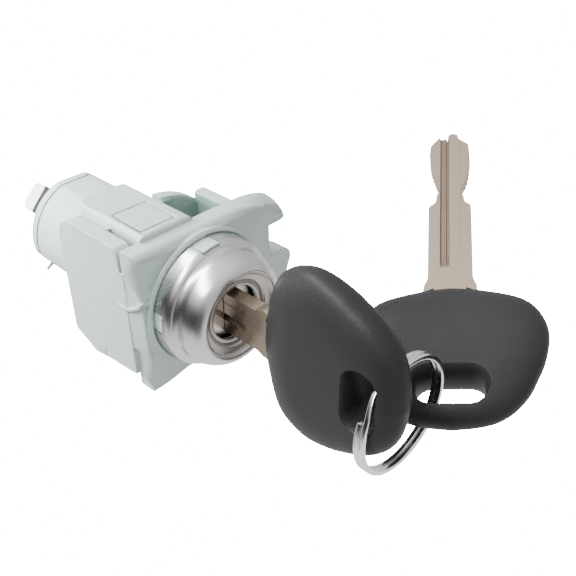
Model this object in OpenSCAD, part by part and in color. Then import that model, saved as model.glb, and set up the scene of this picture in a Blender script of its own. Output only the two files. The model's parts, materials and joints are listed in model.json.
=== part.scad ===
// Car door lock cylinder with its key in the plug and a spare key on the split ring.
// The lock axis is Y: the key goes in from the front, which faces -Y, and +Z is up.
// The origin is on the lock axis, in the plane of the front opening's rim.

/* [Bezel] */
// Outer radius of the stamped cap's skirt
bezel_r = 12; // [11.6:0.1:12.4]
// Sheet thickness of the cap
bezel_t = 0.45; // [0.3:0.05:0.6]
// Radius of the turned-in lip
lip_r = 8.1; // [7.9:0.05:8.4]
// Radius of the opening that the key passes
opening_r = 5.55; // [5.3:0.05:5.8]
// Angle that one skirt notch takes round the cap
notch_a = 18.5; // [14:0.5:22]

/* [Flange] */
// Front face of the flange, back from the opening
flange_y = 8; // [7.9:0.1:8.4]
// Flange thickness
flange_t = 4; // [3.4:0.1:4.6]
// Left side of the flange
flange_left = 13.7; // [13.2:0.1:14.4]
// Right end of the upper wing
wing_right = 20.8; // [19.6:0.1:22]
// Top of the flange
flange_top = 13.3; // [12.9:0.1:14]
// Foot of the flange
flange_foot = 14.8; // [13.8:0.1:15.6]
// Rounding of the flange's front edges
flange_edge = 1.5; // [0.6:0.1:2]
// Height of the screw notch in the right side
notch_h = 6.4; // [5.6:0.1:7.2]
// Depth of the screw notch
notch_d = 4.4; // [3.8:0.1:5]

/* [Barrel] */
// Radius of the barrel
barrel_r = 10.92; // [10.7:0.02:11.4]
// Room in the barrel behind the plug
barrel_room = 6.35; // [6:0.05:9]
// Height of the flat along the barrel's top
barrel_flat = 10.38; // [10.1:0.02:10.6]
// Radius of the collar round the barrel
collar_r = 14.7; // [13.8:0.1:15.2]
// Thickness of the rear cap
cap_t = 1.85; // [1.5:0.05:2.5]

/* [Side plate and block] */
// Rear end of the side plate
plate_rear = 30.3; // [28:0.1:33]
// Thickness of the side plate
plate_t = 2.8; // [2.2:0.1:3.2]
// Half height of the side plate
plate_h = 13.5; // [12.8:0.1:14.2]
// Left side of the raised block
block_left = 9.9; // [9.4:0.1:10.4]
// Right side of the raised block
block_right = 1.4; // [0.6:0.1:2.4]

/* [Plug] */
// Plug radius
plug_r = 6.25; // [6:0.05:6.6]
// Running clearance of the plug in its bore
plug_gap = 0.05; // [0.03:0.01:0.08]
// Wafer thickness
wafer_t = 1; // [0.8:0.05:1.1]
// Distance from one wafer to the next
wafer_pitch = 1.9; // [1.8:0.02:2.05]

/* [Keys] */
// Blade width
blade_w = 8.2; // [7.4:0.1:8.4]
// Blade thickness
blade_t = 2.6; // [2.3:0.05:2.8]
// Length of the blade from the bow to the tip
blade_l = 42; // [38:0.5:42.5]
// Half width of the bow
bow_w = 16.5; // [15.5:0.1:17.6]
// Length of the bow
bow_l = 28; // [26.5:0.1:29]
// Thickness of the bow
bow_t = 8.4; // [7.6:0.1:9.4]
// Outer radius of the split ring
ring_r = 10.7; // [10.4:0.05:11.2]

/* [Tail] */
// Width of the tail blade
tail_w = 6.4; // [5.6:0.1:7]
// Thickness of the tail blade
tail_t = 1.6; // [1.2:0.1:2]
// Length of the tail blade behind the rear cap
tail_out = 18.15; // [10:0.05:24]
// Angle of the tail blade from upright at rest
tail_a = 44; // [0:1:60]

/* [Hidden] */

casting = [0.79, 0.82, 0.81];
chrome = [0.80, 0.80, 0.81];
steel = [0.72, 0.73, 0.75];
brass = [0.78, 0.66, 0.42];
nickel = [0.77, 0.73, 0.69];
rubber = [0.12, 0.12, 0.13];
black_plastic = [0.19, 0.19, 0.20];

fine = 96;
plug_front = 1.6;
key_stop = -8.5;
// The plug ends behind the key's tip
plug_rear = key_stop + blade_l + 5.1;
barrel_end = plug_rear + barrel_room;
flange_rear = flange_y + flange_t;
bore_r = plug_r + plug_gap;
boss_front = 1.4;
// How far the cap's steps reach in, for each millimetre of their drawing
cap_step = (bezel_r - lip_r) / 3.9;
seat_gap = 0.03;
cavity_r = barrel_r - 2.02;
cavity_front = plug_rear - 1.7;
cap_front = barrel_end + 0.05;
cap_rear = cap_front + cap_t;
collar_front = 19;
collar_t = 3;
slot_rear = 19.5;
tail_end = cap_rear + tail_out;
keyway_w = blade_t + 0.2;
keyway_h = blade_w + 0.3;
keyway_end = key_stop + blade_l + 1.2;
// Angle at the middle and front end of each of the cap's three skirt notches
notches = [[95.3, 2.95], [176, 3.9], [-66, 3.4]];
// Seal round the plug's head
seal_y = 3;
seal_r = plug_r + 0.6;
// Wafers: count, place of the first, half width, reach of the lobe and place of the spring
wafer_n = 8;
wafer_first = 4.4;
wafer_w = 3.6;
wafer_lobe = 5.3;
spring_x = 4.5;
// Height of each wafer's window, one value for each wafer
depths = [0.35, -0.2, 0.25, 0.1, -0.35, 0.2, -0.1, 0.3];
// Snap ring in the plug's rear groove
clip_y = cavity_front + 0.06;
clip_t = 0.8;
clip_seat_r = plug_r - 0.9;
// Shank, cross pin and hub behind the plug
shank_r = 4;
shank_end = plug_rear + 3.8;
pin_y = plug_rear + 2.3;
pin_r = 0.8;
hub_r = 6.5;
hub_front = plug_rear + 0.05;
// Torsion spring: direction of its outer leg seen from the front, wire and mean radius
leg_a = 152;
wire_d = 0.72;
spring_r = cavity_r - 0.75;
// Milled groove and shoulder of the key blades
groove_w = 1.5;
groove_d = 0.6;
groove_z = -0.9;
shoulder_w = 9.8;
// Layers over a bow's thickness, and how round its edge is
bow_layers = 14;
bow_edge = 8;
bow_round = 0.9;
// Slot for the split ring, with the distance of its middle from the bow's end
slot_l = 11;
slot_w = 5.2;
slot_in = 6.02;
slot_flare = 1.5;
slot_y = bow_l - slot_in;
// Split ring: place from the first key's slot, lie of its axis, depth and width of its wire
ring_at = [0, key_stop - slot_y, 0] + [5.4, -1.22, -7];
ring_turn = [90, 2.4, 0];
ring_t = 1;
ring_w = 2;
// Spare key: place of its slot from the ring's middle, and its turns
key_2_slot = ring_at + [10.6222, -2.5036, -1.7564];
key_2_turn = [62.9, 69.8, 7.6];

// A solid of revolution about the lock axis from a profile of [radius, y] points
module turned(profile) {
    rotate([-90, 0, 0]) rotate_extrude($fn = fine) polygon(profile);
}

// A cylinder on the lock axis from y0 to y1
module rod(r, y0, y1) {
    translate([0, y0, 0]) rotate([-90, 0, 0]) cylinder(r = r, h = y1 - y0, $fn = fine);
}

// An outline drawn in X and Z, carried from y0 to y1
module along_y(y0, y1) {
    translate([0, y1, 0]) rotate([90, 0, 0]) linear_extrude(y1 - y0) children();
}

// An outline drawn in Y and Z, carried from x0 to x1
module along_x(x0, x1) {
    translate([x0, 0, 0]) rotate([90, 0, 90]) linear_extrude(x1 - x0) children();
}

// An outline drawn in X and Y, carried from z0 to z1
module along_z(z0, z1) {
    translate([0, 0, z0]) linear_extrude(z1 - z0) children();
}

// Points of an arc about a centre
function arc(c, r, a0, a1, n = 6) =
    [for (i = [0 : n]) c + r * [cos(a0 + (a1 - a0) * i / n), sin(a0 + (a1 - a0) * i / n)]];

// A wedge between two angles about the lock axis, in X and Z
module wedge(a0, a1, r) {
    polygon(concat([[0, 0]], arc([0, 0], r, a0, a1, 8)));
}

// Round section of the barrel with its flat top and two relieved sides
module barrel_section(r) {
    upper_right = r - 1.17;
    lower_left = r - 0.9;
    intersection() {
        circle(r = r, $fn = fine);
        translate([-2 * r, -2 * r]) square([4 * r, 2 * r + barrel_flat]);
        rotate(45) translate([-2 * r, -2 * r]) square([2 * r + upper_right, 4 * r]);
        rotate(-143) translate([-2 * r, -2 * r]) square([2 * r + lower_left, 4 * r]);
    }
}

// Outline of the flange: upper wing, screw notch, lower wing and foot
module flange_outline() {
    tip = wing_right;
    notch_x = tip - notch_d;
    notch_top = 7.2;
    notch_low = notch_top - notch_h;
    tab = tip + 1.3;
    polygon(concat(
        [[-flange_left, flange_top], [8, flange_top]],
        arc([8, flange_top - 16], 16, 84, 46, 6),
        arc([tip - 1.4, notch_top + 1.4], 1.4, 30, -90, 5),
        [[notch_x, notch_top], [notch_x, notch_low]],
        arc([tab - 2.3, notch_low - 2.3], 2.3, 90, -10, 5),
        [[tip - 0.6, -6.5], [14.5, -11.8]],
        arc([11, -flange_foot + 3.6], 3, -35, -90, 4),
        [[2, -flange_foot + 1.4], [-5, -flange_foot + 1.4], [-12.2, -flange_foot]],
        arc([1 - flange_left, -flange_foot + 1], 1, -95, -180, 4)));
}

// Side view of the flange, with its rounded front edges
module flange_side() {
    r = flange_edge;
    polygon(concat(
        arc([flange_y + r, flange_top - r], r, 180, 90, 6),
        [[flange_rear, flange_top], [flange_rear, -flange_foot]],
        arc([flange_y + 0.8, -flange_foot + 0.8], 0.8, -90, -180, 4)));
}

// The flange plate with the drafted left side and the relief over it
module flange() {
    difference() {
        intersection() {
            along_y(flange_y, flange_rear) flange_outline();
            along_x(-flange_left - 1, wing_right + 4) flange_side();
        }
        // The left side leans outwards to the rear
        along_z(-flange_foot - 1, flange_top + 1)
            polygon([[-flange_left - 1, flange_y - 1], [-flange_left + 0.5, flange_y - 1],
                [-flange_left, flange_rear], [-flange_left - 1, flange_rear]]);
        // Step in the left side above and below its raised middle
        along_y(flange_y - 1, flange_rear + 1) polygon([[-flange_left - 1, -5.9],
            [-flange_left + 0.75, -6.3], [-flange_left + 0.75, -20], [-flange_left - 1, -20]]);
    }
    flange_relief();
}

// Thin raised line over the left side, from the side plate to the seat of the cap
module flange_relief() {
    lower = [[15.7, 2.5], [14.9, 1.6], [13.9, 1.4], [12.4, 1.5], [10.6, 2.2], [7.8, 4]];
    upper = [[7.8, 4.7], [10.6, 2.8], [12.4, 2.1], [13.9, 2], [14.6, 2.2], [15.3, 2.9]];
    shift = flange_y - 8;
    along_x(-flange_left - 0.3, 1.2 - flange_left) translate([shift, 0]) polygon(concat(lower, upper));
    along_y(flange_y - 0.25, flange_y + 1)
        polygon([[0.4 - flange_left, 4], [-11.6, 3.7], [-11.6, 4.3], [0.4 - flange_left, 4.7]]);
}

// Outline of the side plate, seen from the left
module plate_outline(top) {
    front = flange_rear + 0.7;
    foot = -plate_h;
    polygon(concat(
        arc([front + 1.2, top - 1.2], 1.2, 180, 90, 5),
        arc([plate_rear - 4.2, top - 4.2], 4.2, 90, 0, 7),
        arc([plate_rear - 1, foot + 3.2], 1, 0, -45, 2),
        arc([plate_rear - 6.1, foot + 2.2], 2.2, -55, -90, 4),
        [[front + 6, foot + 0.8], [front, foot + 1.2]]));
}

// Tall plate down the left side, with its rounded corners and the slit in its foot
module side_plate() {
    foot = -plate_h;
    difference() {
        union() {
            along_x(-flange_left - 0.1, -flange_left - 0.1 + plate_t) plate_outline(flange_top);
            // Short tie to the back of the flange
            along_x(-flange_left - 0.1, -flange_left - 0.1 + plate_t)
                translate([flange_rear - 0.2, foot + 1.4]) square([2, 21]);
        }
        along_x(-flange_left - 0.2, -flange_left + 0.3)
            translate([20.6, foot - 0.1]) square([0.3, 2.6]);
    }
}

// Raised block along the top, higher on its right, with a framed blank pad
module block() {
    low = flange_top;
    high = flange_top + 0.9;
    e = 1;
    rear = plate_rear - 0.1;
    difference() {
        intersection() {
            along_y(flange_rear - 0.5, rear) polygon(concat(
                [[-block_left, 0]],
                arc([-block_left + e, low], e, 180, 100, 5),
                arc([block_right - e, high - e], e, 84, 0, 5),
                [[block_right, 0]]));
            along_z(-1, high + 1) polygon(concat(
                [[block_right + 1, flange_rear - 1], [block_right, rear - 2]],
                arc([block_right - 1.8, rear - 1.8], 1.8, 0, 90, 6),
                arc([3.2 - block_left, rear - 3.2], 3.2, 90, 180, 8),
                [[-block_left - 1, flange_rear - 1]]));
        }
        blank_pad(low, high);
    }
}

// Sunken frame of the bare pad on the block's top
module blank_pad(low, high) {
    tilt = atan((high - low) / (block_left + block_right));
    mid_x = (block_right - block_left) / 2 - 0.35;
    mid_z = (low + high) / 2;
    translate([mid_x, 17.15, mid_z]) rotate([0, -tilt, 0]) difference() {
        translate([-3.7, -4.25, -0.2]) cube([7.4, 8.5, 2]);
        translate([-3.4, -3.95, -1]) cube([6.8, 7.9, 4]);
    }
}

// Solid web that carries the side plate and the block on the barrel
module webs() {
    // Ledge between the plate and the block, behind the open slot
    intersection() {
        along_x(1 - flange_left, 0.5 - block_left) plate_outline(flange_top - 0.15);
        translate([-20, slot_rear, 0]) cube([20, 20, 20]);
    }
    along_y(slot_rear, plate_rear - 4.6)
        polygon([[-flange_left + 1, flange_top - 1.2], [0, flange_top - 1.2], [0, -9],
            [-7, -plate_h + 4], [-flange_left + 1, -plate_h + 4]]);
    along_y(plate_rear - 4.8, plate_rear - 0.6)
        polygon([[-flange_left + 1, 8.5], [0, 8.5], [0, -8], [-flange_left + 1, -8]]);
    along_y(flange_rear - 0.5, slot_rear + 0.5)
        polygon([[-flange_left + 1.5, 4], [0, 4], [0, -9.5], [-flange_left + 1.5, -9.5]]);
}

// Ribs between the flange and the collar on the right side
module ribs() {
    along_y(flange_rear - 0.5, collar_front + 0.6)
        polygon([[8.8, 0], [8.8, flange_top - 0.4], [9.2, flange_top], [11, flange_top],
            [11.4, flange_top - 0.4], [11.4, 0]]);
    along_y(flange_rear - 0.5, collar_front + 0.6) translate([8.8, -12]) square([2.6, 12]);
    along_y(flange_rear - 0.5, collar_front + 0.6) translate([-1.3, -13]) square([2.6, 4]);
}

// Front boss inside the cap, with the seat ring on the flange
module front_boss() {
    skirt = bezel_r - bezel_t - seat_gap;
    inside = [for (p = [[2, boss_front], [1.5, 1.9], [1.45, 2.9], [1.15, 3.45], [0.5, 4.15],
        [0.05, 5], [0, 5.5]]) [skirt - cap_step * p[0], p[1]]];
    turned(concat([[bore_r, boss_front]], inside,
        [[skirt, flange_y + 0.5], [bore_r, flange_y + 0.5]]));
    turned([[bezel_r - 1, flange_y - 0.2], [bezel_r + 0.15, flange_y - 0.2],
        [bezel_r + 0.25, flange_y - 0.9], [bezel_r + 0.45, flange_y - 0.85],
        [bezel_r + 0.9, flange_y + 0.2], [bezel_r - 1, flange_y + 0.2]]);
}

// Lugs of the casting that stand in the cap's notches
module lugs() {
    play = 0.5;
    for (notch = notches) {
        a0 = notch[0] - notch_a / 2 + play;
        a1 = notch[0] + notch_a / 2 - play;
        front = notch[1] + 0.15;
        intersection() {
            turned([[bezel_r - 0.8, front], [bezel_r - 0.15, front], [bezel_r + 0.02, front + 0.3],
                [bezel_r + 0.02, 5.1], [bezel_r - 0.2, 5.25], [bezel_r - 0.2, flange_y + 0.2],
                [bezel_r - 0.8, flange_y + 0.2]]);
            along_y(2, flange_y + 1) wedge(a0, a1, bezel_r + 2);
        }
    }
}

// Collar round the barrel, open where the block and the side plate stand
module collar() {
    difference() {
        turned([[bore_r, collar_front], [collar_r - 0.6, collar_front],
            [collar_r, collar_front + 0.6], [collar_r, collar_front + collar_t],
            [bore_r, collar_front + collar_t]]);
        translate([-20, collar_front - 1, 0]) cube([20 + block_right - 0.4, collar_t + 2, 20]);
        translate([-20, collar_front - 1, -20]) cube([21 - flange_left, collar_t + 2, 21]);
    }
}

// One die-cast body
module housing() {
    color(casting) difference() {
        union() {
            front_boss();
            lugs();
            flange();
            side_plate();
            block();
            webs();
            ribs();
            along_y(flange_rear - 0.5, barrel_end) barrel_section(barrel_r);
            collar();
        }
        rod(bore_r, boss_front - 1, cavity_front + 1);
        rod(cavity_r, cavity_front, barrel_end + 1);
        // Seat of the seal in the mouth of the bore
        rod(seal_r + 0.02, seal_y - 0.5, seal_y + 0.5);
        // Slot for the return spring's leg
        rotate([0, leg_a, 0]) translate([6, barrel_end - 1.1, -wire_d / 2 - 0.02])
            cube([8, 2, wire_d + 0.04]);
    }
}

// Outer profile of the stamped cap, from the skirt's rim to the turned-in lip
function cap_profile() = concat(
    [[bezel_r, flange_y - 0.4]],
    [for (p = arc([0, 5], 2.1, 0, -62, 6)) [bezel_r - cap_step * (2.1 - p[0]), p[1]]],
    [for (p = [[1.22, 2.55], [1.28, 2.15], [1.3, 1.6], [1.5, 0.9], [1.82, 0.1], [2.25, -0.7],
        [2.75, -1.35], [3.2, -1.75], [3.6, -1.95]]) [bezel_r - cap_step * p[0], p[1]]],
    [[lip_r + 0.12, -1.9], [lip_r, -1.65]]);

// Unit normal of a profile at one of its points
function normal_at(p, i) =
    let (a = p[max(i - 1, 0)], b = p[min(i + 1, len(p) - 1)], d = b - a)
    [d[1], -d[0]] / norm(d);

// The same profile, moved inwards by the sheet's thickness
function inward(p, t) = [for (i = [0 : len(p) - 1]) p[i] + t * normal_at(p, i)];

// Stamped and plated cap over the boss
module bezel() {
    outer = cap_profile();
    inner = inward(outer, bezel_t);
    shell = concat(outer, [for (i = [len(inner) - 1 : -1 : 0]) inner[i]]);
    color(chrome) difference() {
        turned(shell);
        for (notch = notches) along_y(notch[1], flange_y + 1)
            wedge(notch[0] - notch_a / 2, notch[0] + notch_a / 2, bezel_r + 2);
    }
}

// Ring in the cap's mouth: a cone down to a stepped rim round the opening
module front_ring() {
    color(chrome) turned([[opening_r, 0], [opening_r + 0.35, -0.12], [opening_r + 0.9, -0.1],
        [opening_r + 0.95, 0.15], [opening_r + 1.15, 0.15], [opening_r + 1.2, -0.35],
        [lip_r - 0.75, -0.95], [lip_r - 0.25, -1.35], [lip_r - 0.12, -1.2],
        [lip_r - 0.12, boss_front], [bore_r + 0.1, boss_front],
        [bore_r, boss_front - 0.15], [plug_r - 0.3, 0.9], [opening_r, 0.9]]);
}

// Rubber ring round the plug's head
module plug_seal() {
    color(rubber) turned([[plug_r - 0.3, seal_y - 0.4], [seal_r - 0.05, seal_y - 0.4],
        [seal_r - 0.05, seal_y + 0.4], [plug_r - 0.3, seal_y + 0.4]]);
}

// Polished plate on the plug's face, with the key's entry
module face_plate() {
    color(chrome) difference() {
        rod(plug_r - 0.05, plug_front, plug_front + 0.43);
        along_y(plug_front - 1, plug_front + 1) square([keyway_w, keyway_h], center = true);
    }
}

// Section of the keyway, with the ward that runs in the key's groove
module keyway() {
    difference() {
        square([keyway_w, keyway_h], center = true);
        translate([-keyway_w / 2 - 0.1, groove_z - groove_w / 2 + 0.2])
            square([0.1 + groove_d - 0.1, groove_w - 0.4]);
    }
}

// Rotating plug: keyway, wafer slots, spring holes, clip groove and shank
module plug() {
    color(brass) difference() {
        union() {
            rod(plug_r, plug_front + 0.45, plug_rear);
            rod(shank_r, plug_rear - 0.1, shank_end);
        }
        along_y(plug_front - 1, keyway_end) keyway();
        turned([[plug_r - 0.32, seal_y - 0.42], [plug_r + 1, seal_y - 0.42],
            [plug_r + 1, seal_y + 0.42], [plug_r - 0.32, seal_y + 0.42]]);
        turned([[clip_seat_r, clip_y], [plug_r + 1, clip_y], [plug_r + 1, clip_y + clip_t + 0.04],
            [clip_seat_r, clip_y + clip_t + 0.04]]);
        for (i = [1 : wafer_n]) wafer_slot(i);
        translate([-plug_r, pin_y, 0]) rotate([0, 90, 0])
            cylinder(r = pin_r, h = 2 * plug_r, $fn = 32);
    }
}

function wafer_y(i) = wafer_first + (i - 1) * wafer_pitch;

// Lobes alternate from side to side, as the springs do
function wafer_side(i) = i % 2 == 0 ? 1 : -1;

// Slot for one wafer, with the room for its lobe and the hole for its spring
module wafer_slot(i) {
    play = 0.04;
    y = wafer_y(i);
    mirror([wafer_side(i) < 0 ? 1 : 0, 0, 0]) {
        translate([-wafer_w - play, y - wafer_t / 2 - play, -plug_r - 1])
            cube([2 * (wafer_w + play), wafer_t + 2 * play, 2 * plug_r + 2]);
        translate([0, y - wafer_t / 2 - play, -0.1])
            cube([wafer_lobe + play, wafer_t + 2 * play, plug_r + 1]);
        translate([spring_x, y, -3.3]) cylinder(r = 0.44, h = 4, $fn = 24);
    }
}

// One sliding wafer: a thin plate cut to the plug's round, with a window for the key
module wafer(i) {
    y = wafer_y(i);
    color(brass) mirror([wafer_side(i) < 0 ? 1 : 0, 0, 0])
        along_y(y - wafer_t / 2, y + wafer_t / 2) difference() {
            intersection() {
                circle(r = plug_r - 0.1, $fn = fine);
                union() {
                    translate([-wafer_w, -plug_r]) square([2 * wafer_w, 2 * plug_r]);
                    translate([0, 0.05]) square([wafer_lobe, 1.2]);
                }
            }
            translate([0, depths[i - 1]])
                square([keyway_w + 0.3, keyway_h + 0.9], center = true);
        }
}

// A coil of round wire as a closed sweep about Z
module coil(r, wire, length, turns, steps, sides) {
    n = turns * steps;
    ring = [for (i = [0 : n]) let (a = 360 * i / steps, z = length * i / n)
        for (j = [0 : sides - 1]) let (b = 360 * j / sides, q = r + wire / 2 * cos(b))
        [q * cos(a), q * sin(a), z + wire / 2 * sin(b)]];
    side = [for (i = [0 : n - 1]) for (j = [0 : sides - 1]) let (k = (j + 1) % sides)
        [i * sides + j, i * sides + k, (i + 1) * sides + k, (i + 1) * sides + j]];
    first = [[for (j = [0 : sides - 1]) sides - 1 - j]];
    last = [[for (j = [0 : sides - 1]) n * sides + j]];
    polyhedron(ring, concat(side, first, last), convexity = 6);
}

// The wafers' coil springs, each in its hole under a lobe
module wafer_springs() {
    color(steel) for (i = [1 : wafer_n]) mirror([wafer_side(i) < 0 ? 1 : 0, 0, 0])
        translate([spring_x, wafer_y(i), -3.18]) coil(0.3, 0.18, 3.05, 5, 7, 5);
}

// Snap ring that holds the plug in its bore, with its gap at the top
module retaining_clip() {
    color(steel) difference() {
        turned([[clip_seat_r + 0.02, clip_y + 0.02], [plug_r + 1.1, clip_y + 0.02],
            [plug_r + 1.1, clip_y + clip_t], [clip_seat_r + 0.02, clip_y + clip_t]]);
        translate([-2.6, clip_y - 1, 0]) cube([5.2, 3, plug_r + 3]);
    }
}

// Hub behind the plug that turns the tail blade
module rotor() {
    color(steel) difference() {
        union() {
            rod(hub_r, hub_front, cap_rear + 0.25);
            rod(hub_r + 0.9, hub_front + 0.6, hub_front + 1.4);
        }
        rod(shank_r + 0.03, hub_front - 1, shank_end + 0.05);
        translate([-hub_r - 1, pin_y, 0]) rotate([0, 90, 0])
            cylinder(r = pin_r, h = 2 * hub_r + 2, $fn = 32);
        rotate([0, tail_a, 0]) translate([-tail_t / 2 - 0.02, shank_end, -tail_w / 2 - 0.02])
            cube([tail_t + 0.04, tail_end, tail_w + 0.04]);
    }
}

// Cross pin through the hub and the plug's shank
module drive_pin() {
    color(steel) translate([-hub_r + 0.1, pin_y, 0]) rotate([0, 90, 0])
        cylinder(r = pin_r - 0.01, h = 2 * hub_r - 0.2, $fn = 32);
}

// Flat steel blade that works the latch
module tail_blade() {
    c = 1.6;
    half = tail_w / 2;
    color(steel) rotate([0, tail_a, 0]) along_x(-tail_t / 2, tail_t / 2) polygon(concat(
        [[shank_end + 0.1, -half]],
        arc([tail_end - c, -half + c], c, -90, 0, 5),
        arc([tail_end - c, half - c], c, 0, 90, 5),
        [[shank_end + 0.1, half]]));
}

// Torsion spring that brings the plug back to rest, with its leg through the barrel's rim
module return_spring() {
    turns = 4.6;
    first = hub_front + 1.9;
    last = barrel_end - 0.62;
    color(steel) {
        rotate([0, leg_a, 0]) translate([0, last, 0]) rotate([90, 0, 0])
            coil(spring_r, wire_d, last - first, turns, 20, 8);
        rotate([0, leg_a, 0]) translate([spring_r, last, 0]) rotate([0, 90, 0])
            cylinder(r = wire_d / 2, h = barrel_r + 0.8 - spring_r, $fn = 16);
    }
}

// Rear cap, staked on the barrel's end round the hub
module rear_cap() {
    color(casting) difference() {
        along_y(cap_front, cap_rear) barrel_section(barrel_r - 0.1);
        rod(hub_r + 0.08, cap_front - 1, cap_rear + 1);
    }
}

// Half widths along the blade, from the bow to the tip
half_w = blade_w / 2;
blade_edge = [[0, shoulder_w / 2], [1.1, shoulder_w / 2 - 0.15], [1.8, half_w], [12.1, half_w],
    [13.2, half_w - 0.25], [14.1, half_w - 1.25], [14.6, half_w - 1.2], [15.4, half_w - 1.65],
    [16.6, half_w - 1.95], [17.5, half_w - 1.6], [18.1, half_w - 1.65], [18.9, half_w - 1.1],
    [19.5, half_w - 1.15], [20.3, half_w - 0.6], [20.9, half_w - 0.65], [21.7, half_w - 0.2],
    [22.4, half_w - 0.25], [23.2, half_w], [24.2, half_w], [24.8, half_w - 0.3],
    [25.4, half_w - 0.25], [26, half_w - 0.75], [26.6, half_w - 0.8], [27, half_w - 1.5]];

// A key blade, its bow end at the origin and its tip along +Y
module blade() {
    scale_y = blade_l / 27.5;
    up = [for (p = blade_edge) [p[0] * scale_y, p[1]]];
    down = [for (i = [len(up) - 1 : -1 : 0]) [up[i][0], -up[i][1]]];
    difference() {
        union() {
            along_x(-blade_t / 2, blade_t / 2) polygon(concat(up,
                [[blade_l, 1.3], [blade_l, 0.25], [blade_l - 1, 0.1], [blade_l - 1, -0.6],
                [blade_l - 0.4, -0.7], [blade_l - 0.6, -1.6]], down));
            // Tang held inside the moulded bow
            along_x(-blade_t / 2 + 0.3, blade_t / 2 - 0.3)
                translate([-9, -3]) square([9.1, 6]);
        }
        for (s = [0, 1]) mirror([s, 0, 0]) mirror([0, 0, s]) groove_cut();
    }
}

// Milled groove along one face of the blade, with the cutter's run-out at its end
module groove_cut() {
    z0 = groove_z - groove_w / 2;
    start = 4.6;
    translate([-blade_t / 2 - 1, start, z0]) cube([1 + groove_d, blade_l, groove_w]);
    translate([-blade_t / 2 + groove_d - 4, start, z0]) cylinder(r = 4, h = groove_w, $fn = 48);
}

// Outline of the moulded bow in its own length and width
bow_shape = [[0.112, 0.005], [0.222, 0.012], [0.327, 0.022], [0.428, 0.035], [0.527, 0.049],
    [0.625, 0.066], [0.723, 0.088], [0.817, 0.121], [0.895, 0.171], [0.953, 0.233], [0.990, 0.302],
    [1, 0.374], [0.986, 0.448], [0.958, 0.520], [0.921, 0.590], [0.871, 0.656], [0.822, 0.721],
    [0.766, 0.781], [0.697, 0.835], [0.620, 0.884], [0.533, 0.924], [0.434, 0.955], [0.327, 0.975],
    [0.217, 0.987], [0.108, 0.994]];

// Height and inset of one layer of the bow, from face to face
function layer_x(i) = let (s = sin(-90 + 180 * i / bow_layers))
    bow_t / 2 * sign(s) * pow(abs(s), bow_round);
function layer_in(i) = let (c = cos(-90 + 180 * i / bow_layers))
    bow_edge * (1 - pow(abs(c), bow_round));

// Closed outline of the bow at one layer, drawn towards its middle by the inset
function layer(i) =
    let (d = layer_in(i), mid = -bow_l * 0.5, kw = (bow_w - d) / bow_w, kl = 1 - 2 * d / bow_l,
        side = bow_shape, n = len(side),
        half = [for (p = side) [p[0] * bow_w, -p[1] * bow_l]],
        all = concat([[0, 0]], half, [[0, -bow_l]],
            [for (k = [n - 1 : -1 : 0]) [-half[k][0], half[k][1]]]))
    [for (p = all) [layer_x(i), mid + (p[1] - mid) * kl, p[0] * kw]];

// Rounded body of the bow as one closed surface
module pebble() {
    n = 2 * len(bow_shape) + 2;
    m = bow_layers;
    points = [for (i = [0 : m]) each layer(i)];
    side = [for (i = [0 : m - 1]) for (k = [0 : n - 1]) let (q = (k + 1) % n)
        [i * n + k, i * n + q, (i + 1) * n + q, (i + 1) * n + k]];
    first = [[for (k = [n - 1 : -1 : 0]) k]];
    last = [[for (k = [0 : n - 1]) m * n + k]];
    polyhedron(points, concat(first, side, last), convexity = 4);
}

// Outline of the split ring's slot, larger all round by grow
module slot_outline(grow) {
    translate([-slot_y, 0]) hull() for (s = [-1, 1])
        translate([0, s * (slot_l - slot_w) / 2]) circle(r = slot_w / 2 + grow, $fn = 40);
}

// Slot for the split ring: narrow half way through, flared to both faces
module ring_slot() {
    half = bow_t / 2;
    n = 5;
    for (s = [-1, 1]) for (i = [0 : n - 1]) {
        g0 = slot_flare * (1 - cos(75 * i / n)) / (1 - cos(75));
        g1 = slot_flare * (1 - cos(75 * (i + 1) / n)) / (1 - cos(75));
        x0 = half * 1.02 * sin(75 * i / n) / sin(75);
        x1 = half * 1.02 * sin(75 * (i + 1) / n) / sin(75);
        hull() {
            along_x(s * x0 - 0.01, s * x0 + 0.01) slot_outline(g0);
            along_x(s * x1 - 0.01, s * x1 + 0.01) slot_outline(g1);
        }
    }
}

// Moulded bow: a rounded pebble with the slot through it
module bow() {
    difference() {
        pebble();
        ring_slot();
        // Room for the blade's tang
        along_x(-blade_t / 2 + 0.28, blade_t / 2 - 0.28)
            translate([-9.02, -3.02]) square([9.1, 6.04]);
    }
}

// Place of the first key, in the plug
module at_key_1() {
    translate([0, key_stop, 0]) children();
}

// Place of the spare key, which hangs on the ring and leans back
module at_key_2() {
    translate(key_2_slot) rotate(key_2_turn) translate([0, slot_y, 0]) children();
}

module key_1_blade() {
    color(nickel) at_key_1() blade();
}

module key_1_bow() {
    color(black_plastic) at_key_1() bow();
}

module key_2_blade() {
    color(nickel) at_key_2() blade();
}

module key_2_bow() {
    color(black_plastic) at_key_2() bow();
}

// Split ring: two flat turns side by side, joined where they cross
module key_ring() {
    gap = 0.12;
    one = (ring_w - gap) / 2;
    color(steel) translate(ring_at) rotate(ring_turn) {
        difference() {
            cylinder(r = ring_r, h = ring_w, center = true, $fn = fine);
            cylinder(r = ring_r - ring_t, h = ring_w + 1, center = true, $fn = fine);
            // Gap between the two turns, left closed where one crosses to the other
            difference() {
                cylinder(r = ring_r + 1, h = gap, center = true, $fn = fine);
                rotate(200) translate([0, 0, -1]) linear_extrude(2)
                    wedge(-9, 9, ring_r + 2);
            }
        }
    }
}

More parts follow.
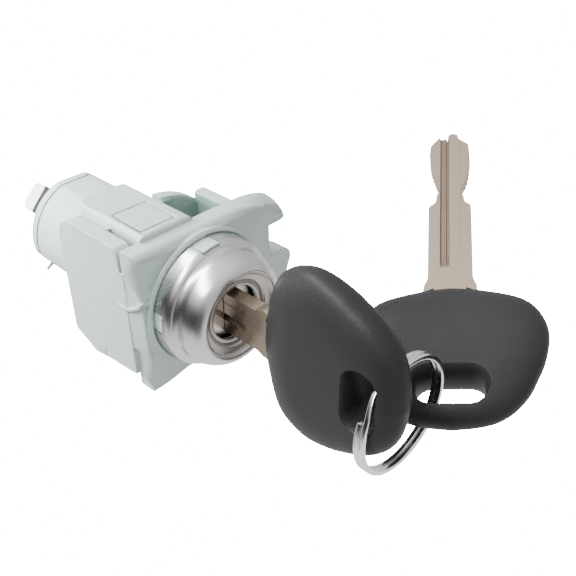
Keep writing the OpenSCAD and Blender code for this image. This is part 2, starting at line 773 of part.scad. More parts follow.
housing();
bezel();
front_ring();
plug();
face_plate();
plug_seal();
wafer(1);  // wafer_1
wafer(2);  // wafer_2
wafer(3);  // wafer_3
wafer(4);  // wafer_4
wafer(5);  // wafer_5
wafer(6);  // wafer_6
wafer(7);  // wafer_7
wafer(8);  // wafer_8
wafer_springs();
retaining_clip();
rotor();
drive_pin();
tail_blade();
return_spring();
rear_cap();
key_1_blade();
key_1_bow();
key_ring();
key_2_blade();
key_2_bow();
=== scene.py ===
"""Looks, light and camera for the door lock cylinder with its two keys.

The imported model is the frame: every piece here rides one of its bodies. Lengths are in
metres, and helper tables in millimetres say so.
"""

import json
import logging
import math
from dataclasses import dataclass, field
from enum import Enum
from typing import Iterable, Sequence

import bmesh
import bpy
from mathutils import Euler, Matrix, Vector

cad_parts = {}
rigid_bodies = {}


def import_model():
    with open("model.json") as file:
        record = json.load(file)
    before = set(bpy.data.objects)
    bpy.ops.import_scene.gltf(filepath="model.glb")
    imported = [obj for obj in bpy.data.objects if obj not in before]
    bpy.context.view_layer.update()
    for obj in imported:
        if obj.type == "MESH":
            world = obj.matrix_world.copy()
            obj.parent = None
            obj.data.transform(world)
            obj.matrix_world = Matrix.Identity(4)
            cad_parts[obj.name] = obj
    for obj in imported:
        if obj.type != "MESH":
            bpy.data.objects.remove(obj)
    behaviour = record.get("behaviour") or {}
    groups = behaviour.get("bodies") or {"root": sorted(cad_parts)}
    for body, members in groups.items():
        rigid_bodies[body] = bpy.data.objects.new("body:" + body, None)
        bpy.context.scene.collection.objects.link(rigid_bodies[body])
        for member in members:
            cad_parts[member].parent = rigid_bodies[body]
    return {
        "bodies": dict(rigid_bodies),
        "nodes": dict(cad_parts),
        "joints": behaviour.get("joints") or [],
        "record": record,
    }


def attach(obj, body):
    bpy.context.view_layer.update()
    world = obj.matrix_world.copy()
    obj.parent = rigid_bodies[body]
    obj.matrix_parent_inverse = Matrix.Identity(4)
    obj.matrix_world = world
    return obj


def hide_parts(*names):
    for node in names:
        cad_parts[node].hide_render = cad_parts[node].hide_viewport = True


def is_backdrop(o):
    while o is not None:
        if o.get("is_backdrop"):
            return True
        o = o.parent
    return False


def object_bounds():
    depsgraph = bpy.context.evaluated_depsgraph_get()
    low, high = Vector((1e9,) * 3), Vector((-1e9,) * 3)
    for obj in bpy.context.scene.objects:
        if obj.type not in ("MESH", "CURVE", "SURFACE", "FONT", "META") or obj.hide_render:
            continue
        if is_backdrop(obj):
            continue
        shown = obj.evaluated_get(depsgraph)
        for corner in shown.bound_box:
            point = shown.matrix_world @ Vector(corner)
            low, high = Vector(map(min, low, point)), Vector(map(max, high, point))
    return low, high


LOG = logging.getLogger("lock_scene")
MM = 0.001

Tree = bpy.types.NodeTree
Socket = bpy.types.NodeSocket
Object = bpy.types.Object
Triple = tuple[float, float, float]
Line = tuple[tuple[float, float], ...]

# The barrel in millimetres: its radius, its flats as direction in degrees and distance,
# and the centre and radius of the rounded corner between two of them
BARREL_RADIUS = 10.92
BARREL_FLATS = ((90.0, 10.38), (45.0, 9.75), (-143.0, 10.02))
CORNER_X, CORNER_Z, CORNER_RADIUS = 2.207, 7.48, 2.9
CORNER_FROM, CORNER_TO = 66.3, 78.0


class Body(Enum):
    """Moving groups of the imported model."""

    LOCK = "lock_body"
    PLUG = "turning_plug"
    KEY = "key_in_lock"
    RING = "split_ring"
    SPARE = "spare_key"


class Grain(Enum):
    """How a finish's fine texture is drawn out, as a scale along X, Y and Z."""

    EVEN = (1.0, 1.0, 1.0)
    ALONG_Y = (1.0, 0.06, 1.0)
    ALONG_Z = (1.0, 1.0, 0.06)


def wired(
    tree: Tree,
    kind: str,
    out: str,
    sources: dict[str, Socket],
    values: dict[str, object],
) -> Socket:
    """Adds a node, feeds some of its inputs and sets others.

    Args:
        tree: The node tree.
        kind: Type of the node.
        out: Name of the output that is wanted.
        sources: Sockets that feed inputs, by the input's name.
        values: Fixed values of other inputs, by name.

    Returns:
        The output's socket.
    """
    node = tree.nodes.new(kind)
    for name, value in values.items():
        node.inputs[name].default_value = value
    for name, source in sources.items():
        tree.links.new(source, node.inputs[name])
    return node.outputs[out]


def noise(tree: Tree, coords: Socket, per_mm: float, octaves: float) -> Socket:
    """A noise value.

    Args:
        tree: The node tree.
        coords: Coordinates in millimetres.
        per_mm: Frequency.
        octaves: Octaves of detail.

    Returns:
        The noise's value socket.
    """
    values = {"Scale": per_mm, "Detail": octaves}
    return wired(tree, "ShaderNodeTexNoise", "Fac", {"Vector": coords}, values)


def scaled(tree: Tree, coords: Socket, scale: Triple) -> Socket:
    """Coordinates times a scale for each direction.

    Args:
        tree: The node tree.
        coords: The coordinates.
        scale: Scale along X, Y and Z.

    Returns:
        The vector socket.
    """
    values = {"Scale": scale}
    return wired(tree, "ShaderNodeMapping", "Vector", {"Vector": coords}, values)


def ranged(
    tree: Tree, value: Socket, old: Sequence[float], new: Sequence[float]
) -> Socket:
    """A value moved from one range to another.

    Args:
        tree: The node tree.
        value: The value.
        old: Both ends of its range.
        new: Results at those ends.

    Returns:
        The result's socket.
    """
    names = ("From Min", "From Max", "To Min", "To Max")
    values = dict(zip(names, (*old, *new)))
    return wired(tree, "ShaderNodeMapRange", "Result", {"Value": value}, values)


@dataclass(frozen=True)
class Finish:
    """A procedural surface: base colour with soft mottling, fine grain and worn edges.

    Attributes:
        name: Name of the material.
        colour: Linear base colour.
        roughness: Mean roughness.
        metallic: 0 for plastics and rubber, 1 for bare metal.
        mottle: Brightness swing of the broad mottling, from 0 to 1.
        mottle_per_mm: Frequency of the mottling.
        grain: Height of the fine grain's bump.
        grain_per_mm: Frequency of the fine grain.
        stretch: Direction in which the grain is drawn out.
        edge_mm: Radius by which edges look rounded.
        tint: Second colour that the mottling mixes in.
        rough_swing: How much the grain changes the roughness.
        specular: Strength of the gloss on what isn't metal.
    """

    name: str
    colour: Triple
    roughness: float
    metallic: float = 0.0
    mottle: float = 0.08
    mottle_per_mm: float = 0.35
    grain: float = 0.05
    grain_per_mm: float = 6.0
    stretch: Grain = Grain.EVEN
    edge_mm: float = 0.2
    tint: Triple | None = None
    rough_swing: float = 0.06
    specular: float = 0.5

    NOISE_SPAN = (0.3, 0.7)
    RELIEF_MM = 0.05

    def build(self) -> bpy.types.Material:
        """Makes the node material.

        Returns:
            The new material.
        """
        material = bpy.data.materials.new(self.name)
        material.use_nodes = True
        tree = material.node_tree
        shader = tree.nodes["Principled BSDF"]
        shader.inputs["Metallic"].default_value = self.metallic
        shader.inputs["Specular IOR Level"].default_value = self.specular
        metres = tree.nodes.new("ShaderNodeTexCoord").outputs["Object"]
        coords = scaled(tree, metres, (1 / MM,) * 3)
        drawn = scaled(tree, coords, self.stretch.value)
        broad = noise(tree, coords, self.mottle_per_mm, 3.0)
        fine = noise(tree, drawn, self.grain_per_mm, 4.0)
        self._colour(tree, broad, fine, shader)
        low = max(self.roughness - self.rough_swing, 0.01)
        high = self.roughness + self.rough_swing
        rough = ranged(tree, fine, self.NOISE_SPAN, (low, high))
        tree.links.new(rough, shader.inputs["Roughness"])
        self._normal(tree, fine, shader)
        return material

    def _colour(
        self, tree: Tree, broad: Socket, fine: Socket, shader: bpy.types.Node
    ) -> None:
        """Base colour: the two tones mixed by the mottling, dimmed by the grain.

        Args:
            tree: The material's node tree.
            broad: Broad noise.
            fine: Fine noise.
            shader: The surface shader.
        """
        second = self.tint or tuple(c * (1 - self.mottle) for c in self.colour)
        tones = tree.nodes.new("ShaderNodeMix")
        tones.data_type = "RGBA"
        tones.inputs["A"].default_value = (*self.colour, 1.0)
        tones.inputs["B"].default_value = (*second, 1.0)
        share = ranged(tree, broad, self.NOISE_SPAN, (0.0, 1.0))
        tree.links.new(share, tones.inputs["Factor"])
        dimmed = tree.nodes.new("ShaderNodeHueSaturation")
        tree.links.new(tones.outputs["Result"], dimmed.inputs["Color"])
        swing = self.mottle / 3
        value = ranged(tree, fine, self.NOISE_SPAN, (1 - swing, 1 + swing))
        tree.links.new(value, dimmed.inputs["Value"])
        tree.links.new(dimmed.outputs["Color"], shader.inputs["Base Color"])

    def _normal(self, tree: Tree, fine: Socket, shader: bpy.types.Node) -> None:
        """Edges softened, with the grain's relief over them.

        Args:
            tree: The material's node tree.
            fine: Fine noise.
            shader: The surface shader.
        """
        soft = tree.nodes.new("ShaderNodeBevel")
        soft.samples = 4
        soft.inputs["Radius"].default_value = self.edge_mm * MM
        bump = tree.nodes.new("ShaderNodeBump")
        bump.inputs["Strength"].default_value = self.grain
        bump.inputs["Distance"].default_value = self.RELIEF_MM * MM
        tree.links.new(fine, bump.inputs["Height"])
        tree.links.new(soft.outputs["Normal"], bump.inputs["Normal"])
        tree.links.new(bump.outputs["Normal"], shader.inputs["Normal"])


@dataclass
class FinishSet:
    """The finishes of the whole model, built once each.

    Attributes:
        finishes: The finishes by slot name.
        built: Materials built so far.
    """

    finishes: dict[str, Finish] = field(default_factory=dict)
    built: dict[str, bpy.types.Material] = field(default_factory=dict)

    def __getitem__(self, slot: str) -> bpy.types.Material:
        """The material for a slot.

        Args:
            slot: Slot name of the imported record.

        Returns:
            The material, made on first use.
        """
        if slot not in self.built:
            self.built[slot] = self.finishes[slot].build()
        return self.built[slot]

    @classmethod
    def standard(cls) -> "FinishSet":
        """The finishes that the photo shows, and those of the hidden parts.

        Returns:
            The set.
        """
        finishes = (
            Finish(
                "die_cast_zinc", (0.43, 0.53, 0.495), 0.4, metallic=0.35, mottle=0.1,
                mottle_per_mm=0.25, grain=0.35, grain_per_mm=2.6, edge_mm=0.45,
                tint=(0.45, 0.54, 0.51), rough_swing=0.06,
            ),
            # Darker zinc: painted shade for the walls of the pocket behind the flange
            Finish(
                "cast_recess", (0.24, 0.33, 0.305), 0.55, metallic=0.3, mottle=0.12,
                mottle_per_mm=0.25, grain=0.4, grain_per_mm=2.6, edge_mm=0.3,
            ),
            Finish(
                "bright_chrome", (0.68, 0.675, 0.67), 0.27, metallic=1.0, mottle=0.03,
                grain=0.004, edge_mm=0.03, rough_swing=0.02,
            ),
            Finish(
                "satin_chrome", (0.46, 0.43, 0.41), 0.3, metallic=1.0, mottle=0.04,
                grain=0.01, edge_mm=0.04, rough_swing=0.03,
            ),
            Finish(
                "cast_brass", (0.6, 0.5, 0.3), 0.35, metallic=1.0, grain=0.1,
                stretch=Grain.ALONG_Y, edge_mm=0.08,
            ),
            Finish("black_rubber", (0.02, 0.02, 0.02), 0.7, grain=0.2, edge_mm=0.1),
            Finish(
                "spring_steel", (0.5, 0.5, 0.51), 0.32, metallic=1.0, grain=0.05,
                edge_mm=0.03,
            ),
            Finish(
                "zinc_plated_steel", (1.0, 1.0, 1.0), 0.35, metallic=0.4, mottle=0.04,
                grain=0.02, grain_per_mm=4.0, edge_mm=0.06,
            ),
            # Paints the dark reflection band across the tail blade
            Finish(
                "dull_steel", (0.05, 0.05, 0.05), 0.4, metallic=0.6, mottle=0.06,
                grain=0.03, edge_mm=0.05,
            ),
            # Darker grey: painted shade on the tail blade's rounded edges
            Finish(
                "rolled_edge", (0.17, 0.17, 0.17), 0.35, metallic=0.6, mottle=0.04,
                grain=0.02, edge_mm=0.05,
            ),
            Finish(
                "nickel_silver", (0.44, 0.36, 0.28), 0.3, metallic=0.9, mottle=0.03,
                grain=0.02, grain_per_mm=9.0, stretch=Grain.ALONG_Z, edge_mm=0.05,
            ),
            # Darker nickel silver: painted shade in the keys' grooves
            Finish(
                "milled_groove", (0.26, 0.2, 0.155), 0.4, metallic=0.9, mottle=0.06,
                grain=0.15, grain_per_mm=8.0, stretch=Grain.ALONG_Z, edge_mm=0.05,
            ),
            Finish(
                "bright_steel", (0.95, 0.935, 0.925), 0.14, metallic=1.0, mottle=0.04,
                grain=0.02, edge_mm=0.08, rough_swing=0.03,
            ),
            Finish(
                "black_plastic", (0.0185, 0.0181, 0.0195), 0.42, mottle=0.08,
                mottle_per_mm=0.15, grain=0.1, grain_per_mm=7.0, edge_mm=0.25,
                rough_swing=0.04, specular=0.15,
            ),
        )
        return cls({finish.name: finish for finish in finishes})


def smooth_line(points: Sequence[tuple[float, float]], steps: int) -> list[Vector]:
    """A rounded line through the points.

    Args:
        points: Points of the line.
        steps: New points for each stretch between two points.

    Returns:
        The denser line, with the first and last points kept.
    """
    pts = [Vector(p) for p in points]
    pts = [2 * pts[0] - pts[1], *pts, 2 * pts[-1] - pts[-2]]
    line = []
    for i in range(1, len(pts) - 2):
        a, b, c, d = pts[i - 1 : i + 3]
        for k in range(steps):
            t = k / steps
            line.append(
                0.5
                * (
                    2 * b
                    + (c - a) * t
                    + (2 * a - 5 * b + 4 * c - d) * t * t
                    + (3 * b - a - 3 * c + d) * t**3
                )
            )
    line.append(pts[-2])
    return line


def mesh_object(name: str, mesh: bpy.types.Mesh) -> Object:
    """Links a new object.

    Args:
        name: Name of the object.
        mesh: Its mesh.

    Returns:
        The object.
    """
    obj = bpy.data.objects.new(name, mesh)
    bpy.context.scene.collection.objects.link(obj)
    return obj


def loft(name: str, rings: Sequence[Sequence[Vector]], closed: bool) -> bpy.types.Mesh:
    """A skin over rings of equal length.

    Args:
        name: Name of the mesh.
        rings: The rings, in order.
        closed: True to join the last ring to the first, False to cap both ends.

    Returns:
        The mesh, with its faces turned outwards.
    """
    bm = bmesh.new()
    rows = [[bm.verts.new(p) for p in ring] for ring in rings]
    n = len(rows[0])
    last = len(rows) if closed else len(rows) - 1
    for i in range(last):
        a, b = rows[i], rows[(i + 1) % len(rows)]
        for k in range(n):
            q = (k + 1) % n
            bm.faces.new((a[k], a[q], b[q], b[k]))
    if not closed:
        bm.faces.new(list(reversed(rows[0])))
        bm.faces.new(rows[-1])
    bmesh.ops.recalc_face_normals(bm, faces=bm.faces)
    mesh = bpy.data.meshes.new(name)
    bm.to_mesh(mesh)
    bm.free()
    return mesh


def solid(
    name: str, rings: Sequence[Sequence[Vector]], closed: bool = False
) -> Object:
    """A new object with a skin over rings.

    Args:
        name: Name of the object and of its mesh.
        rings: The rings, in order.
        closed: True to join the last ring to the first.

    Returns:
        The object.
    """
    return mesh_object(name, loft(name, rings, closed))


def round_axis(radius: float, y: float, angle: float) -> Vector:
    """A point round the lock's axis.

    Args:
        radius: Distance from the axis, in millimetres.
        y: Place along the axis, in millimetres.
        angle: Angle from +X towards +Z, in radians.

    Returns:
        The point, in metres.
    """
    return Vector((radius * math.cos(angle), y, radius * math.sin(angle))) * MM


def turned(
    name: str, section: Sequence[Sequence[float]], count: int
) -> Object:
    """A closed section turned all the way round the lock's axis.

    Args:
        name: Name of the object.
        section: Radius and Y of its points, in millimetres.
        count: Number of steps round.

    Returns:
        The object.
    """
    angles = [2 * math.pi * k / count for k in range(count)]
    rings = [[round_axis(r, y, t) for r, y in section] for t in angles]
    return solid(name, rings, True)


def sector(
    name: str,
    radii: Sequence[float],
    degrees: Sequence[float],
    ends: Sequence[float],
) -> Object:
    """A block between two radii, two angles round the lock's axis and two ends along Y.

    Args:
        name: Name of the object.
        radii: Inner and outer radius, in millimetres.
        degrees: First and last angle.
        ends: Front and rear end, in millimetres.

    Returns:
        The object.
    """
    (near, far), (low, high) = radii, map(math.radians, degrees)
    corners = ((near, low), (far, low), (far, high), (near, high))
    return solid(name, [[round_axis(r, y, a) for r, a in corners] for y in ends])


def placed(at: Triple, turn: Triple) -> Matrix:
    """A place from millimetres and degrees.

    Args:
        at: Position in millimetres.
        turn: Turns about X, Y and Z in degrees.

    Returns:
        The matrix, in metres.
    """
    angles = Euler([math.radians(a) for a in turn], "XYZ")
    return Matrix.Translation(Vector(at) * MM) @ angles.to_matrix().to_4x4()


def even_normals(obj: Object) -> bpy.types.Modifier:
    """Keeps flat faces evenly lit beside rounded or cut ones.

    Args:
        obj: The object.

    Returns:
        The modifier.
    """
    even = obj.modifiers.new("even_normals", "WEIGHTED_NORMAL")
    even.weight = 100
    return even


def carve(
    obj: Object,
    cutters: Iterable[Object],
    added: Iterable[Object] = (),
) -> None:
    """Joins some solids to an object, cuts others out of it, and removes them all.

    Args:
        obj: The object to work on.
        cutters: The solids to cut out.
        added: The solids to join on first.
    """
    added, cutters = list(added), list(cutters)
    work = [(o, "UNION") for o in added] + [(o, "DIFFERENCE") for o in cutters]
    for cutter, operation in work:
        cut = obj.modifiers.new("cut", "BOOLEAN")
        cut.operation = operation
        cut.solver = "EXACT"
        cut.object = cutter
    bpy.context.view_layer.update()
    graph = bpy.context.evaluated_depsgraph_get()
    result = bpy.data.meshes.new_from_object(obj.evaluated_get(graph))
    obj.modifiers.clear()
    obj.data = result
    for cutter, _ in work:
        bpy.data.objects.remove(cutter)


def smooth_shading(mesh: bpy.types.Mesh, degrees: float) -> None:
    """Smooth shading with edges kept sharp above an angle.

    Args:
        mesh: The mesh.
        degrees: Angle above which an edge stays sharp.
    """
    mesh.shade_smooth()
    mesh.set_sharp_from_angle(angle=math.radians(degrees))


def dress(
    obj: Object, material: bpy.types.Material, body: Body
) -> None:
    """Gives a piece its finish and the body that it rides.

    Args:
        obj: The piece.
        material: Its finish.
        body: Body that it moves with.
    """
    obj.data.materials.clear()
    obj.data.materials.append(material)
    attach(obj, body.value)


@dataclass
class MouldedBow:
    """The rounded black bow of one key, with its flared slot.

    Attributes:
        name: Name of the piece.
        node: CAD node that it stands for.
        body: Body that it rides.
        place: Where the blade meets the bow, with the key's directions.
        half_width_mm: Half the bow's width.
        length_mm: Length of the bow.
        thickness_mm: Thickness of the bow.
        edge_mm: How far in the rounding reaches.
        slot_at_mm: Middle of the slot, from the blade.
        slot_mm: Length, width and flare of the slot.
    """

    name: str
    node: str
    body: Body
    place: Matrix
    half_width_mm: float = 16.49
    length_mm: float = 27.99
    thickness_mm: float = 8.39
    edge_mm: float = 8.0
    slot_at_mm: float = 21.98
    slot_mm: Triple = (11.0, 5.2, 1.5)

    FLARE_DEG = 75.0
    PAST_FACE = 1.03
    SMOOTH_DEG = 34
    SHAPE = (
        (0.0, 0.0), (0.112, 0.005), (0.222, 0.012), (0.327, 0.022), (0.428, 0.035),
        (0.527, 0.049), (0.625, 0.066), (0.723, 0.088), (0.817, 0.121), (0.895, 0.171),
        (0.953, 0.233), (0.990, 0.302), (1.0, 0.374), (0.986, 0.448), (0.958, 0.520),
        (0.921, 0.590), (0.871, 0.656), (0.822, 0.721), (0.766, 0.781), (0.697, 0.835),
        (0.620, 0.884), (0.533, 0.924), (0.434, 0.955), (0.327, 0.975), (0.217, 0.987),
        (0.108, 0.994), (0.0, 1.0),
    )

    def _layers(self, count: int) -> list[list[Vector]]:
        """Outlines of the bow from one face to the other.

        Args:
            count: Number of layers.

        Returns:
            The layers' rings, in metres.
        """
        half = [(v.x, v.y) for v in smooth_line(self.SHAPE, 3)]
        outline = half + [(-w, l) for w, l in reversed(half[1:-1])]
        width, length = self.half_width_mm, self.length_mm
        rings = []
        for i in range(count + 1):
            angle = math.radians(-90 + 180 * i / count)
            s, c = math.sin(angle), max(math.cos(angle), 0.0)
            x = self.thickness_mm / 2 * math.copysign(abs(s) ** 0.9, s)
            inset = self.edge_mm * (1 - c**0.9)
            kw, kl = (width - inset) / width, 1 - 2 * inset / length
            middle = -length / 2
            ring = []
            for w, l in outline:
                along = middle + (-l * length - middle) * kl
                ring.append(Vector((x, along, w * width * kw)) * MM)
            rings.append(ring)
        return rings

    def _slot(self) -> Object:
        """Solid of the flared slot, to be cut out.

        Returns:
            The cutter.
        """
        long, wide, flare = self.slot_mm
        count, sides, reach = 28, 96, 78.0
        most = 1 - math.cos(math.radians(self.FLARE_DEG))
        depth = self.thickness_mm / 2 * self.PAST_FACE
        rings = []
        for i in range(-count, count + 1):
            a = math.radians(reach * i / count)
            radius = wide / 2 + flare * (1 - math.cos(a)) / most
            x = depth * math.sin(a) / math.sin(math.radians(reach))
            ring = []
            for k in range(sides):
                t = 2 * math.pi * k / sides
                y = -self.slot_at_mm + radius * math.sin(t)
                z = math.copysign((long - wide) / 2, math.cos(t)) + radius * math.cos(t)
                ring.append(Vector((x, y, z)) * MM)
            rings.append(ring)
        return solid(self.name + "_slot", rings)

    def build(self, finishes: FinishSet) -> Object:
        """Makes the bow in its place.

        Args:
            finishes: The finishes.

        Returns:
            The piece.
        """
        obj = solid(self.name, self._layers(44))
        carve(obj, [self._slot()])
        obj.data.transform(self.place)
        smooth_shading(obj.data, self.SMOOTH_DEG)
        dress(obj, finishes["black_plastic"], self.body)
        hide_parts(self.node)
        return obj


def barrel_corner(front: float, rear: float) -> Object:
    """Solid that rounds the long corner on top of the barrel.

    Args:
        front: Its front end along Y, in millimetres.
        rear: Its rear end.

    Returns:
        The solid.
    """
    outline = []
    for a in (math.radians(degrees) for degrees in range(90, 44, -5)):
        x = CORNER_X + CORNER_RADIUS * math.cos(a)
        outline.append((x, CORNER_Z + CORNER_RADIUS * math.sin(a)))
    outline += [(6.4, 11.674), (6.4, 13.0), (CORNER_X, 13.0)]
    rings = [[Vector((x, y, z)) * MM for x, z in outline] for y in (front, rear)]
    return solid("barrel_corner", rings)


@dataclass
class EndDisc:
    """The rear cap: its solid with the barrel's rounded corner.

    Attributes:
        source: The CAD node's object, whose mesh is copied and never changed.
    """

    source: Object

    def build(self, finishes: FinishSet) -> Object:
        """Makes the disc.

        Args:
            finishes: The finishes.

        Returns:
            The piece.
        """
        obj = mesh_object("end_disc", self.source.data.copy())
        carve(obj, [barrel_corner(43.0, 49.0)])
        smooth_shading(obj.data, 24)
        dress(obj, finishes["die_cast_zinc"], Body.LOCK)
        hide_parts("rear_cap")
        return obj


@dataclass
class TailBar:
    """The flat tail blade with well-rounded edges, painted shade on those edges and a
    painted dark reflection band across it.

    Attributes:
        source: The CAD node's object, whose mesh is copied and never changed.
        round_mm: Radius of the edges.
        reflection_band_mm: Front and rear end of the painted dark reflection band across
            it, along Y.
    """

    source: Object
    round_mm: float = 0.7
    reflection_band_mm: tuple[float, float] = (59.4, 61.3)

    def _paint_reflection_band(self, mesh: bpy.types.Mesh) -> None:
        """Splits the sides at the band's ends and gives the band a dark material: a
        painted reflection of the disc's shaded rear.

        Args:
            mesh: The blade's mesh, with the painted reflection's dark material as its
                second material.
        """
        work = bmesh.new()
        work.from_mesh(mesh)
        for y in self.reflection_band_mm:
            parts = [*work.verts, *work.edges, *work.faces]
            bmesh.ops.bisect_plane(
                work, geom=parts, plane_co=(0, y * MM, 0), plane_no=(0, 1, 0)
            )
        for face in work.faces:
            centre = face.calc_center_median().y / MM
            if self.reflection_band_mm[0] < centre < self.reflection_band_mm[1]:
                face.material_index = 1
        work.to_mesh(mesh)
        work.free()

    def build(self, finishes: FinishSet) -> Object:
        """Makes the blade.

        Args:
            finishes: The finishes.

        Returns:
            The piece.
        """
        obj = mesh_object("tail_bar", self.source.data.copy())
        edge = obj.modifiers.new("edge", "BEVEL")
        edge.width = self.round_mm * MM
        edge.segments = 4
        edge.limit_method = "ANGLE"
        edge.angle_limit = math.radians(40)
        # The rounded edges take the third material, a darker grey: painted shade
        edge.material = 2
        smooth_shading(obj.data, 30)
        even_normals(obj)
        dress(obj, finishes["zinc_plated_steel"], Body.PLUG)
        # Second material: the painted dark reflection band
        obj.data.materials.append(finishes["dull_steel"])
        # Third material: painted shade on the rounded edges
        obj.data.materials.append(finishes["rolled_edge"])
        self._paint_reflection_band(obj.data)
        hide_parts("tail_blade")
        return obj


@dataclass
class Casting:
    """The die-cast body: the solid with the wing's sloping top and closer lugs.

    Attributes:
        source: The CAD node's object, whose mesh is copied and never changed.
        wing_front: Outline of the wing's top at its front, in X and Z millimetres.
        wing_rear: Outline of the wing's top at its rear.
        tip_front: What is cut off the wing's tip, at its front.
        tip_rear: What is cut off the tip at its rear.
        collar: Radius and Y of the raised collar that the cap's rim sits against.
        lug_fronts: Middle angle in degrees and new front end of each shortened lug.
        lug_half_deg: Half the angle that a lug's cut spans.
        filler_mm: Lowest and highest corner of what fills the slit behind the flange.
        pocket_shade_mm: Lowest and highest corner of the pocket behind the flange, whose
            walls get painted shade.
    """

    source: Object
    wing_front: Line = (
        (7.5, 12.7), (10.5, 12.75), (13.0, 12.3), (15.5, 11.5), (17.6, 10.8),
        (19.3, 10.0), (20.2, 9.2), (20.4, 8.3), (14.0, 7.5), (7.5, 9.0),
    )
    wing_rear: Line = (
        (7.5, 13.28), (12.0, 13.26), (14.6, 13.0), (17.2, 12.4), (19.2, 11.5),
        (20.2, 10.6), (20.7, 9.5), (20.7, 8.3), (14.0, 7.3), (7.5, 9.0),
    )
    tip_front: Line = (
        (18.0, 12.6), (18.9, 10.8), (19.6, 9.65), (20.05, 8.85), (20.3, 7.9),
        (20.3, 7.2), (23.0, 7.2), (23.0, 12.6),
    )
    tip_rear: Line = (
        (18.0, 13.6), (19.7, 11.9), (20.5, 10.9), (20.8, 10.0), (20.9, 9.0),
        (20.9, 7.2), (24.0, 7.2), (24.0, 13.6),
    )
    collar: Line = ((11.5, 7.38), (12.72, 7.38), (12.84, 7.5), (12.9, 8.4), (11.5, 8.4))
    lug_fronts: Line = ((96.0, 3.85), (176.0, 5.15))
    lug_half_deg: float = 14.0
    filler_mm: tuple[Triple, Triple] = ((-13.45, 11.8, -12.0), (-11.2, 14.7, 12.0))
    pocket_shade_mm: tuple[Triple, Triple] = ((0.5, 12.4, 2.0), (19.5, 26.0, 15.0))

    WING_STEPS = ((8.25, 0.0), (8.7, 0.3), (9.4, 0.6), (10.4, 0.85), (11.98, 1.0))
    LUG_RADII = (10.3, 13.0)
    LUG_START = 2.4
    SMOOTH_DEG = 16

    def _wing(self) -> Object:
        """Solid that raises the wing's top towards its rear.

        Returns:
            The solid.
        """
        rings = []
        for y, share in self.WING_STEPS:
            pairs = zip(self.wing_front, self.wing_rear)
            ring = [Vector(a).lerp(Vector(b), share) for a, b in pairs]
            line = smooth_line([(v.x, v.y) for v in ring], 4)
            rings.append([Vector((v.x, y, v.y)) * MM for v in line])
        return solid("wing", rings)

    def _tip_cut(self) -> Object:
        """Solid that rounds the wing's tip.

        Returns:
            The solid.
        """
        rings = []
        for y, outline in ((7.9, self.tip_front), (12.1, self.tip_rear)):
            rings.append([Vector((x, y, z)) * MM for x, z in outline])
        return solid("wing_tip_cut", rings)

    def _filler(self) -> Object:
        """A plain block that fills part of the slit behind the flange.

        Returns:
            The solid.
        """
        (left, front, bottom), (right, rear, top) = self.filler_mm
        corners = ((front, bottom), (rear, bottom), (rear, top), (front, top))
        rings = [[Vector((x, y, z)) * MM for y, z in corners] for x in (left, right)]
        return solid("filler", rings)

    def _lug_cuts(self) -> list[Object]:
        """Solids that shorten the lugs.

        Returns:
            The solids.
        """
        cuts = []
        for middle, front in self.lug_fronts:
            span = (middle - self.lug_half_deg, middle + self.lug_half_deg)
            ends = (self.LUG_START, front)
            cuts.append(sector("lug_cut", self.LUG_RADII, span, ends))
        return cuts

    def _paint_pocket_shade(self, mesh: bpy.types.Mesh, finishes: FinishSet) -> None:
        """Paints shade on the walls of the pocket behind the flange, as a darker material.

        Args:
            mesh: The casting's mesh.
            finishes: The finishes.
        """
        mesh.materials.append(finishes["cast_recess"])
        low, high = (Vector(corner) * MM for corner in self.pocket_shade_mm)
        for face in mesh.polygons:
            # Painted shade goes only on the walls that look forwards or sideways
            inside = all(low[i] < face.center[i] < high[i] for i in range(3))
            if inside and (face.normal.y < -0.5 or abs(face.normal.x) > 0.7):
                face.material_index = len(mesh.materials) - 1

    def build(self, finishes: FinishSet) -> Object:
        """Makes the casting.

        Args:
            finishes: The finishes.

        Returns:
            The piece.
        """
        obj = mesh_object("casting", self.source.data.copy())
        filler = self._filler()
        cuts = [*self._lug_cuts(), self._tip_cut(), barrel_corner(22.0, 46.0)]
        carve(obj, cuts, [self._wing(), filler, turned("collar", self.collar, 180)])
        smooth_shading(obj.data, self.SMOOTH_DEG)
        even_normals(obj).keep_sharp = True
        dress(obj, finishes["die_cast_zinc"], Body.LOCK)
        # Painted shade in the pocket behind the flange
        self._paint_pocket_shade(obj.data, finishes)
        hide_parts("housing")
        return obj


@dataclass
class SeamShadowBand:
    """Painted shadow of the joint between the barrel's end and the rear cap: a thin black
    band.

    Attributes:
        y_mm: Front and rear end of the line.
        stand_mm: How far it stands proud of the barrel.
        depth_mm: Its own thickness.
    """

    y_mm: tuple[float, float] = (44.72, 45.06)
    stand_mm: float = 0.02
    depth_mm: float = 0.3

    def _radius(self, degrees: float) -> float:
        """Distance from the axis to the barrel's side.

        Args:
            degrees: Direction, from +X towards +Z.

        Returns:
            The distance in millimetres.
        """
        reach = BARREL_RADIUS
        for towards, distance in BARREL_FLATS:
            share = math.cos(math.radians(degrees - towards))
            if share > 0:
                reach = min(reach, distance / share)
        if CORNER_FROM < degrees < CORNER_TO:
            t = math.radians(degrees)
            along = CORNER_X * math.cos(t) + CORNER_Z * math.sin(t)
            half = math.sqrt(along**2 - CORNER_X**2 - CORNER_Z**2 + CORNER_RADIUS**2)
            reach = min(reach, along + half)
        return reach

    def build(self, finishes: FinishSet) -> Object:
        """Makes the line as a thin closed band.

        Args:
            finishes: The finishes.

        Returns:
            The piece.
        """
        front, rear = self.y_mm
        rings = []
        for k in range(360):
            t = math.radians(k)
            outer = self._radius(k) + self.stand_mm
            inner = outer - self.depth_mm
            section = ((outer, front), (outer, rear), (inner, rear), (inner, front))
            rings.append([round_axis(r, y, t) for r, y in section])
        obj = solid("cap_seam", rings, True)
        # Black band: painted shadow in the joint
        dress(obj, finishes["black_rubber"], Body.LOCK)
        return obj


